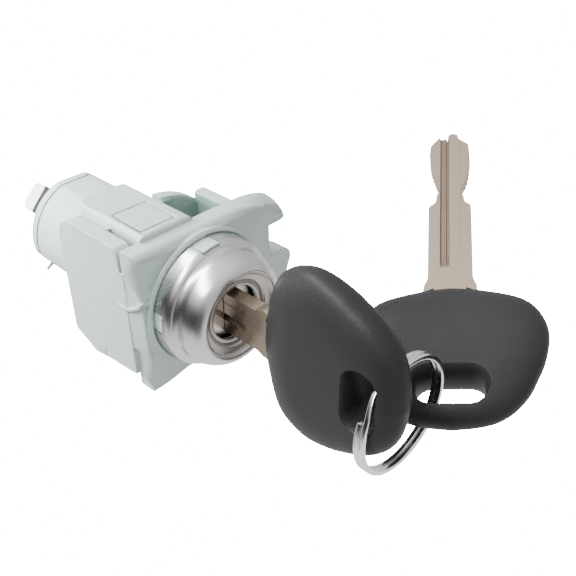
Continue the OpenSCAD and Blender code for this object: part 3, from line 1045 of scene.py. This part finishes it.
@dataclass
class CutBlade:
    """The flat blade of one key: cut edges, a double groove and the tip's notch.

    Attributes:
        name: Name of the piece.
        node: CAD node that it stands for.
        body: Body that it rides.
        place: Where the blade meets the bow, with the key's directions.
        grooves: Middle, width, depth and start of each groove, in millimetres.
        thickness_mm: Thickness of the blade.
    """

    name: str
    node: str
    body: Body
    place: Matrix
    grooves: tuple[tuple[float, float, float, float], ...] = (
        (-1.35, 0.95, 0.58, 4.7),
        (-0.4, 0.7, 0.52, 4.7),
        (2.15, 0.2, 0.07, 4.5),
    )
    thickness_mm: float = 2.59

    RUN_OUT = ((0.0, -0.05), (0.7, 0.3), (1.5, 0.62), (2.4, 0.86), (3.2, 1.0))
    GROOVE = ((0.55, 1.0), (0.85, 0.86), (1.0, 0.55))
    LEFT = (
        (-0.8, -4.85), (0.7, -4.7), (1.4, -4.4), (2.4, -4.05), (10.0, -4.08),
        (20.3, -4.12), (21.1, -3.7), (21.5, -3.1), (22.1, -2.7), (23.2, -2.62),
        (24.2, -2.4), (25.4, -1.95), (26.3, -2.1), (26.9, -2.5), (27.4, -2.5),
        (27.9, -2.85), (28.5, -2.75), (29.0, -3.12), (29.6, -3.04), (30.1, -3.42),
        (30.8, -3.32), (31.3, -3.72), (32.0, -3.62), (32.6, -3.94), (33.3, -3.8),
        (34.0, -4.02), (34.8, -3.88), (35.6, -4.1), (37.0, -4.0), (38.6, -3.85),
        (40.9, -2.2), (41.0, -0.75), (40.2, -0.42),
    )
    RIGHT = (
        (41.95, -0.3), (41.98, 1.0), (41.6, 1.65), (40.4, 1.9), (38.4, 3.9),
        (37.2, 4.0), (35.7, 4.1), (34.9, 3.92), (34.2, 4.1), (33.5, 3.86), (32.8, 4.0),
        (32.1, 3.72), (31.5, 3.9), (30.8, 3.58), (30.2, 3.76), (29.5, 3.38),
        (28.9, 3.52), (28.3, 3.1), (27.7, 3.2), (27.0, 2.75), (25.6, 2.25), (24.6, 2.3),
        (23.2, 2.72), (21.7, 2.95), (20.6, 4.1), (10.0, 4.1), (2.4, 4.1), (1.4, 4.4),
        (0.5, 4.8), (-0.8, 4.85),
    )

    def _body(self) -> Object:
        """The blade's plate with its tang, before the grooves.

        Returns:
            The object.
        """
        half = self.thickness_mm / 2
        tang = ((-0.02, 2.9), (-8.9, 2.9), (-8.9, -2.9), (-0.02, -2.9))
        outline = [*self.LEFT, *self.RIGHT, *tang]
        rings = [[Vector((x, y, z)) * MM for y, z in outline] for x in (-half, half)]
        return solid(self.name, rings)

    def _cutter(
        self, side: int, middle: float, width: float, depth: float, start: float
    ) -> Object:
        """Solid of one milled groove with its run-out towards the bow.

        Args:
            side: Face that it is cut in, -1 or 1.
            middle: Its middle across the blade, in millimetres.
            width: Its width.
            depth: Its depth.
            start: Where it begins, from the bow.

        Returns:
            The cutter.
        """
        half = self.thickness_mm / 2
        stations = [(start + y, depth * share) for y, share in self.RUN_OUT]
        rings = []
        for y, d in [*stations, (44.0, depth)]:
            wall = [(half + 1.0, 1.0)]
            wall += [(half - down * d, across) for down, across in self.GROOVE]
            wall += [(x, -across) for x, across in reversed(wall)]
            ring = []
            for x, across in wall:
                z = middle + across * width / 2
                ring.append(Vector((side * x, y, -side * z)) * MM)
            rings.append(ring)
        return solid("groove", rings)

    def build(self, finishes: FinishSet) -> Object:
        """Makes the blade in its place.

        Args:
            finishes: The finishes.

        Returns:
            The piece.
        """
        obj = self._body()
        cuts = [self._cutter(side, *cut) for side in (-1, 1) for cut in self.grooves]
        carve(obj, cuts)
        dress(obj, finishes["nickel_silver"], self.body)
        # Second material: painted shade for the grooves
        obj.data.materials.append(finishes["milled_groove"])
        surface = (self.thickness_mm / 2 - 0.12) * MM
        # Painted shade: the grooves' floors and slopes, under the surface and clear of the
        # bow, get the darker material
        for face in obj.data.polygons:
            x, y, z = face.center
            inside = abs(x) < surface and 4.5 * MM < y and abs(z) < 2 * MM
            if inside and abs(face.normal.x) > 0.3:
                face.material_index = 1
        obj.data.transform(self.place)
        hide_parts(self.node)
        return obj


@dataclass
class StampedCap:
    """The plated cap over the lock's front, with three notches in its skirt.

    Attributes:
        radius_mm: Outer radius of the skirt.
        sheet_mm: Thickness of the sheet.
        rim_mm: Rear end of the skirt along Y.
        notches: Middle angle of each notch in degrees, and its front end along Y.
        notch_deg: Width of one notch.
    """

    radius_mm: float = 12.0
    sheet_mm: float = 0.45
    rim_mm: float = 7.3
    notches: Line = ((96.0, 3.7), (176.0, 5.0), (-66.0, 3.4))
    notch_deg: float = 18.5

    NOTCH_RADII = (9.0, 14.0)
    SMOOTH_DEG = 38
    NOSE = (
        (1.16, 2.75), (1.27, 2.2), (1.32, 1.6), (1.5, 0.9), (1.82, 0.1), (2.25, -0.7),
        (2.75, -1.32), (3.2, -1.7), (3.55, -1.88), (3.8, -1.85),
    )

    def _profile(self) -> list[Vector]:
        """Outer line of the cap, from the rim to the lip.

        Returns:
            Its points, as radius and Y in millimetres.
        """
        r = self.radius_mm
        points = [(r + 0.06, self.rim_mm), (r + 0.02, 6.8), (r, 5.6), (r - 0.03, 5.0)]
        for a in (math.radians(degrees) for degrees in (14, 28, 42, 54)):
            points.append((r - 2.1 + 2.1 * math.cos(a), 5 - 2.1 * math.sin(a)))
        points += [(r - inset, y) for inset, y in self.NOSE]
        points.append((8.1, -1.6))
        return smooth_line(points, 5)

    def _section(self) -> list[Vector]:
        """Closed section of the sheet.

        Returns:
            The section's points, as radius and Y in millimetres.
        """
        outer = self._profile()
        inner = []
        for i, p in enumerate(outer):
            a = outer[max(i - 1, 0)]
            b = outer[min(i + 1, len(outer) - 1)]
            d = (b - a).normalized()
            inner.append(p + Vector((d.y, -d.x)) * self.sheet_mm)
        return outer + inner[::-1]

    def _notches(self) -> list[Object]:
        """Solids of the notches.

        Returns:
            The cutters.
        """
        half = self.notch_deg / 2
        cutters = []
        for middle, front in self.notches:
            span, ends = (middle - half, middle + half), (front, self.rim_mm + 2)
            cutters.append(sector("cap_notch", self.NOTCH_RADII, span, ends))
        return cutters

    def build(self, finishes: FinishSet) -> Object:
        """Makes the cap.

        Args:
            finishes: The finishes.

        Returns:
            The piece.
        """
        obj = turned("cap_shell", self._section(), 240)
        carve(obj, self._notches())
        smooth_shading(obj.data, self.SMOOTH_DEG)
        dress(obj, finishes["bright_chrome"], Body.LOCK)
        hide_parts("bezel")
        return obj


@dataclass
class SplitRing:
    """The key ring: two flat turns of one wire, side by side.

    Attributes:
        centre_mm: Centre of the ring.
        turn: Rotation of its axis from +Z.
        radius_mm: Outer radius.
        wire_mm: Radial and axial size of one turn.
        start_deg: Angle at which the first turn's end shows.
        apart_deg: Angle between the wire's two ends, where it crosses over.
        apart_mm: Gap between the two turns.
        corner_mm: Rounding of the wire's edges.
    """

    centre_mm: Triple = (5.4, -31.7, -7.0)
    turn: Triple = (90.0, 2.4, 0.0)
    radius_mm: float = 10.68
    wire_mm: tuple[float, float] = (0.98, 0.93)
    start_deg: float = 159.0
    apart_deg: float = 32.0
    apart_mm: float = 0.06
    corner_mm: float = 0.24

    def _section(self) -> list[tuple[float, float]]:
        """Rounded section of the wire, as radial and axial offsets.

        Returns:
            The points.
        """
        deep, wide = self.wire_mm
        points = []
        for sx, sy, first in ((1, 1, 0), (-1, 1, 90), (-1, -1, 180), (1, -1, 270)):
            cx = sx * (deep / 2 - self.corner_mm)
            cy = sy * (wide / 2 - self.corner_mm)
            for step in range(5):
                a = math.radians(first + 90 * step / 4)
                x = cx + self.corner_mm * math.cos(a)
                points.append((x, cy + self.corner_mm * math.sin(a)))
        return points

    def build(self, finishes: FinishSet) -> Object:
        """Makes the ring in its place.

        Args:
            finishes: The finishes.

        Returns:
            The piece.
        """
        section = self._section()
        middle = self.radius_mm - self.wire_mm[0] / 2
        pitch = self.wire_mm[1] + self.apart_mm
        rings = []
        around = 180
        for i in range(round(around * (2 - self.apart_deg / 360)) + 1):
            turns = i / around
            a = math.radians(self.start_deg) + 2 * math.pi * turns
            # Flat all round, with the step across in the gap between the two ends
            step = (turns - 1) * 360 / self.apart_deg + 1
            step = min(max(step, 0.0), 1.0)
            shift = (step * step * (3 - 2 * step) - 0.5) * pitch
            ring = []
            for u, v in section:
                x, y = (middle + u) * math.cos(a), (middle + u) * math.sin(a)
                ring.append(Vector((x, y, shift + v)) * MM)
            rings.append(ring)
        mesh = loft("ring_wire", rings, False)
        mesh.transform(placed(self.centre_mm, self.turn))
        smooth_shading(mesh, 40)
        obj = mesh_object("ring_wire", mesh)
        dress(obj, finishes["bright_steel"], Body.RING)
        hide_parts("key_ring")
        return obj


@dataclass
class MouthRing:
    """The stepped ring in the cap's mouth, with rounded steps.

    Attributes:
        front_line: Radius and Y of its face, from the opening to the cap's lip.
        back_line: Radius and Y of its rear side, from the lip to the opening.
    """

    front_line: Line = (
        (5.02, 0.35), (5.1, 0.02), (5.35, -0.12), (5.7, -0.12), (5.9, 0.02),
        (6.0, 0.16), (6.12, 0.14), (6.22, -0.3), (6.5, -0.55), (6.9, -0.72),
        (7.3, -0.9), (7.62, -1.12), (7.85, -1.4), (8.05, -1.52), (8.16, -1.45),
    )
    back_line: Line = (
        (8.14, -0.9), (7.7, -0.5), (7.0, 0.3), (5.2, 0.85),
    )

    def build(self, finishes: FinishSet) -> Object:
        """Makes the ring.

        Args:
            finishes: The finishes.

        Returns:
            The piece.
        """
        line = smooth_line(self.front_line, 4)
        section = line + [Vector(p) for p in self.back_line]
        obj = turned("mouth_ring", section, 180)
        smooth_shading(obj.data, 50)
        dress(obj, finishes["satin_chrome"], Body.LOCK)
        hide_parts("front_ring")
        return obj


@dataclass
class CarriedParts:
    """The CAD nodes that stay in view, with their finishes.

    Attributes:
        slots: Material slot of each node.
        skip: Nodes that a finer piece stands for.
    """

    slots: dict[str, str]
    skip: tuple[str, ...] = (
        "housing", "rear_cap", "tail_blade", "bezel", "front_ring", "key_ring",
        "key_1_bow", "key_2_bow", "key_1_blade", "key_2_blade",
    )

    def build(self, frame: dict, finishes: FinishSet) -> int:
        """Paints the nodes.

        Args:
            finishes: The finishes.

        Returns:
            The number of nodes painted.
        """
        painted = 0
        for name, obj in frame["nodes"].items():
            slot = self.slots[name]
            obj.data.materials.clear()
            obj.data.materials.append(finishes[slot])
            painted += name not in self.skip
        return painted


@dataclass
class Studio:
    """Pale floor, soft lights and the photo's camera.

    Attributes:
        floor_mm: Height of the floor.
        floor_half: Half the floor's side, in metres.
        paper_glow: Light that comes through the paper from below.
        room: Brightness of the surroundings.
        heights: Brightness by height, from straight down at 0 to straight up at 1.
        walls: Patches of the room: direction, inner and outer angle, share of light.
        lights: Soft lights: name, place, target, size and power.
        camera_mm: Place of the photo's camera.
        camera_turn: Its right, up and backward directions.
    """

    floor_mm: float = -75.0
    floor_half: float = 3.0
    paper_glow: float = 30.0
    room: float = 1.45
    heights: Line = (
        (0.0, 0.95), (0.3, 0.8), (0.5, 0.55), (0.75, 0.52), (0.9, 0.8), (1.0, 1.0),
    )
    walls: tuple[tuple[Triple, float, float, float], ...] = (
        ((-0.78, 0.56, 0.22), 8.0, 30.0, 0.15),
        ((-0.8, 0.56, -0.1), 10.0, 26.0, 0.3),
        ((-0.98, 0.08, -0.02), 10.0, 34.0, 0.1),
        ((-0.86, -0.45, -0.12), 12.0, 38.0, 0.1),
        ((-0.62, 0.58, -0.53), 6.0, 20.0, 0.45),
    )
    lights: tuple[tuple[str, tuple, tuple, tuple, float], ...] = (
        ("key_light", (-0.22, 0.14, 0.5), (0.0, 0.0, 0.0), (0.8, 0.16), 8.0),
        ("left_fill", (-0.42, 0.12, 0.34), (0.0, 0.03, 0.0), (0.25, 0.25), 1.9),
        (
            "barrel_fill",
            (-0.066, 0.092, 0.052),
            (-0.008, 0.04, 0.008),
            (0.05, 0.05),
            0.5,
        ),
    )
    camera_mm: Triple = (-74.41, -84.36, 79.62)
    camera_turn: tuple[Triple, Triple, Triple] = (
        (0.6905, -0.7233, -0.0081),
        (0.4058, 0.3781, 0.8321),
        (-0.5987, -0.5779, 0.5546),
    )

    def build(self) -> None:
        """Makes the floor, the lights, the surroundings and the camera."""
        self._floor()
        self._world()
        for name, place, target, size, power in self.lights:
            self._light(name, Vector(place), Vector(target), size, power)
        self._camera()

    def _floor(self) -> None:
        """A wide plain floor."""
        half, z = self.floor_half, self.floor_mm * MM
        mesh = bpy.data.meshes.new("studio_floor")
        signs = ((-1, -1), (1, -1), (1, 1), (-1, 1))
        corners = [(x * half, y * half, z) for x, y in signs]
        mesh.from_pydata(corners, [], [(0, 1, 2, 3)])
        obj = mesh_object("studio_floor", mesh)
        look = {"mottle": 0.005, "mottle_per_mm": 0.01, "grain": 0.0, "edge_mm": 0.1}
        paper = Finish("studio_paper", (0.95, 0.95, 0.95), 0.9, **look).build()
        shader = paper.node_tree.nodes["Principled BSDF"]
        shader.inputs["Emission Color"].default_value = (1.0, 1.0, 1.0, 1.0)
        shader.inputs["Emission Strength"].default_value = self.paper_glow
        obj.data.materials.append(paper)
        obj.visible_glossy = False
        obj.visible_diffuse = False
        obj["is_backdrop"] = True

    def _world(self) -> None:
        """Surroundings: a pale room with darker and brighter walls for the metal."""
        world = bpy.data.worlds.new("studio")
        bpy.context.scene.world = world
        world.use_nodes = True
        tree = world.node_tree
        back = tree.nodes["Background"]
        direction = tree.nodes.new("ShaderNodeTexCoord").outputs["Generated"]
        level = self._height_ramp(tree, direction)
        for wall in self.walls:
            level = self._patched(tree, direction, level, *wall)
        tree.links.new(level, back.inputs["Color"])
        back.inputs["Strength"].default_value = self.room

    def _height_ramp(self, tree: Tree, direction: Socket) -> Socket:
        """Brightness of the room by height.

        Args:
            tree: The world's node tree.
            direction: Direction socket.

        Returns:
            The brightness socket.
        """
        z = wired(tree, "ShaderNodeSeparateXYZ", "Z", {"Vector": direction}, {})
        ramp = tree.nodes.new("ShaderNodeValToRGB")
        height = ranged(tree, z, (-1.0, 1.0), (0.0, 1.0))
        tree.links.new(height, ramp.inputs["Fac"])
        first, last = ramp.color_ramp.elements
        for stop, (where, grey) in ((first, self.heights[0]), (last, self.heights[-1])):
            stop.position = where
            stop.color = (grey, grey, grey, 1.0)
        for where, grey in self.heights[1:-1]:
            ramp.color_ramp.elements.new(where).color = (grey, grey, grey, 1.0)
        return ramp.outputs["Color"]

    @staticmethod
    def _patched(
        tree: Tree,
        direction: Socket,
        level: Socket,
        towards: Triple,
        inner: float,
        outer: float,
        depth: float,
    ) -> Socket:
        """One soft patch of the room, darker or brighter than the rest.

        Args:
            tree: The world's node tree.
            direction: Direction socket.
            level: Brightness so far.
            towards: Where the patch lies.
            inner: Angle up to which it is full, in degrees.
            outer: Angle at which it ends, in degrees.
            depth: Share of the brightness in its middle.

        Returns:
            The new brightness socket.
        """
        dot = tree.nodes.new("ShaderNodeVectorMath")
        dot.operation = "DOT_PRODUCT"
        dot.inputs[1].default_value = Vector(towards).normalized()
        tree.links.new(direction, dot.inputs[0])
        edge = tree.nodes.new("ShaderNodeMapRange")
        edge.interpolation_type = "SMOOTHSTEP"
        edge.inputs["From Min"].default_value = math.cos(math.radians(outer))
        edge.inputs["From Max"].default_value = math.cos(math.radians(inner))
        edge.inputs["To Min"].default_value = 1.0
        edge.inputs["To Max"].default_value = depth
        tree.links.new(dot.outputs["Value"], edge.inputs["Value"])
        product = tree.nodes.new("ShaderNodeVectorMath")
        product.operation = "SCALE"
        tree.links.new(level, product.inputs[0])
        tree.links.new(edge.outputs["Result"], product.inputs["Scale"])
        return product.outputs["Vector"]

    def _light(
        self,
        name: str,
        place: Vector,
        target: Vector,
        size: tuple[float, float],
        power: float,
    ) -> None:
        """One soft light with a rectangular face.

        Args:
            name: Name of the light.
            place: Where it stands.
            target: What it looks at.
            size: Sides of its face, in metres.
            power: Power in watts.
        """
        data = bpy.data.lights.new(name, "AREA")
        data.energy = power
        data.shape = "RECTANGLE"
        data.size, data.size_y = size
        obj = bpy.data.objects.new(name, data)
        obj.location = place
        obj.rotation_euler = (target - place).to_track_quat("-Z", "Y").to_euler()
        obj.visible_glossy = not name.endswith("fill")
        obj.visible_camera = False
        bpy.context.scene.collection.objects.link(obj)

    def _camera(self) -> None:
        """The photo's viewpoint."""
        data = bpy.data.cameras.new("photo_camera")
        data.sensor_width = 36.0
        data.lens = 50.0
        data.clip_start = 0.005
        data.clip_end = 20.0
        data.dof.use_dof = False
        obj = bpy.data.objects.new("photo_camera", data)
        turn = Matrix(self.camera_turn).transposed().to_4x4()
        obj.matrix_world = Matrix.Translation(Vector(self.camera_mm) * MM) @ turn
        bpy.context.scene.collection.objects.link(obj)
        bpy.context.scene.camera = obj


@dataclass
class LockScene:
    """Everything in the picture, built in order.

    Attributes:
        finishes: The finishes.
    """

    frame: dict
    finishes: FinishSet = field(default_factory=FinishSet.standard)

    KEY_1 = ((0.0, -8.5, 0.0), (0.0, 0.0, 0.0))
    KEY_2 = ((32.9, -21.85, -2.0), (62.9, 69.8, 7.6))

    def build(self) -> None:
        """Builds every piece and reports it."""
        parts = self.frame["record"]["subparts"]
        slots = {part["node"]: part["material_slot"] for part in parts}
        painted = CarriedParts(slots).build(self.frame, self.finishes)
        LOG.info("painted %d carried parts", painted)
        pieces = [
            Casting(self.frame["nodes"]["housing"]),
            EndDisc(self.frame["nodes"]["rear_cap"]),
            SeamShadowBand(),
            TailBar(self.frame["nodes"]["tail_blade"]),
            StampedCap(),
            MouthRing(),
            MouldedBow(
                "bow_1",
                "key_1_bow",
                Body.KEY,
                placed(*self.KEY_1),
                slot_at_mm=21.8,
                slot_mm=(10.6, 4.85, 1.0),
            ),
            MouldedBow("bow_2", "key_2_bow", Body.SPARE, placed(*self.KEY_2)),
            CutBlade(
                "blade_1",
                "key_1_blade",
                Body.KEY,
                placed(*self.KEY_1),
                grooves=((-0.9, 1.5, 0.6, 4.7), (2.15, 0.2, 0.07, 4.5)),
            ),
            CutBlade("blade_2", "key_2_blade", Body.SPARE, placed(*self.KEY_2)),
            SplitRing(),
        ]
        for piece in pieces:
            made = piece.build(self.finishes)
            LOG.info("%s: %d faces", made.name, len(made.data.polygons))
        Studio().build()
        LOG.info("studio ready")


def main() -> None:
    """Loads the frame, builds the scene and measures the sizes before and after."""
    logging.basicConfig(level=logging.INFO, format="%(message)s")
    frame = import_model()
    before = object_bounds()
    LockScene(frame).build()
    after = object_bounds()
    sizes = {
        "frame": [list(before[0]), list(before[1])],
        "scene": [list(after[0]), list(after[1])],
    }


if __name__ == "__main__":
    main()
